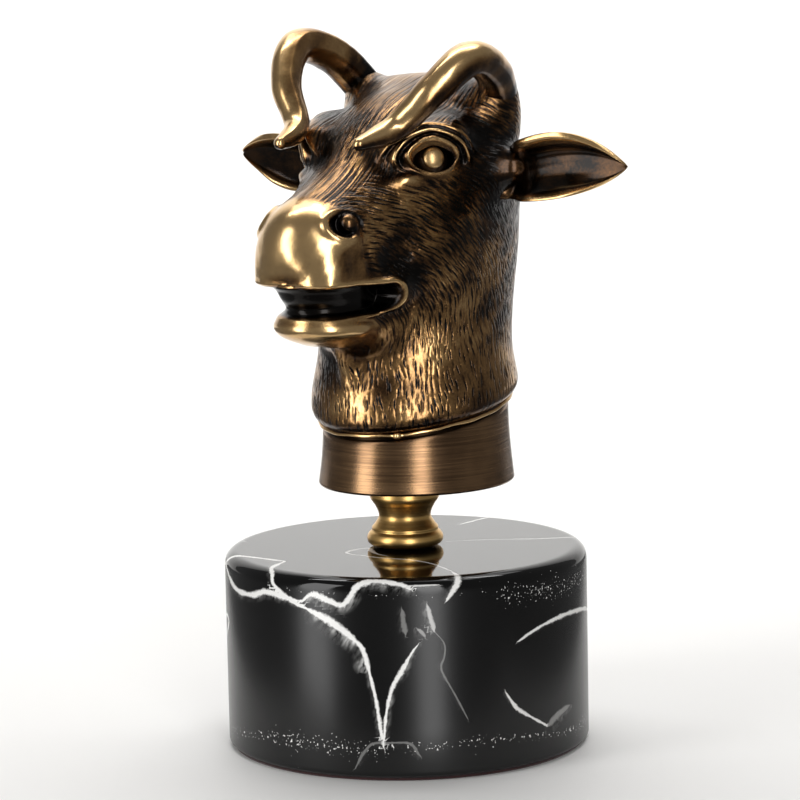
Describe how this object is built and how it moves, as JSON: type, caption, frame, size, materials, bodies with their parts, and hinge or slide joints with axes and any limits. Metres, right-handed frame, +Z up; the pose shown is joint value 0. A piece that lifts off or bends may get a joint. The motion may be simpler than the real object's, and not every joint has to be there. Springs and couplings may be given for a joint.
{
  "type": "ox head figure on a round base",
  "caption": "Cast ox head with arched horns, spread ears and an open mouth, on an oval collar, a turned stem and a low round base.",
  "frame": {"origin": "centre of the underside, on the base's axis", "axes": "+Z up; the ox faces -Y; its left ear is on +X"},
  "size_m": [0.115, 0.0879, 0.17],
  "materials": {
    "felt": "pressed felt, dark red-black",
    "black_resin": "cast black resin with white veins in imitation of marble, polished to a high gloss",
    "turned_brass": "turned and lacquered brass with fine tool rings",
    "patinated_bronze": "dark brown patina with raised places polished bright"
  },
  "bodies": {
    "root": {"felt_pad": "felt", "base": "black_resin", "stem": "turned_brass", "ox_head": "patinated_bronze"}
  },
  "joints": []
}
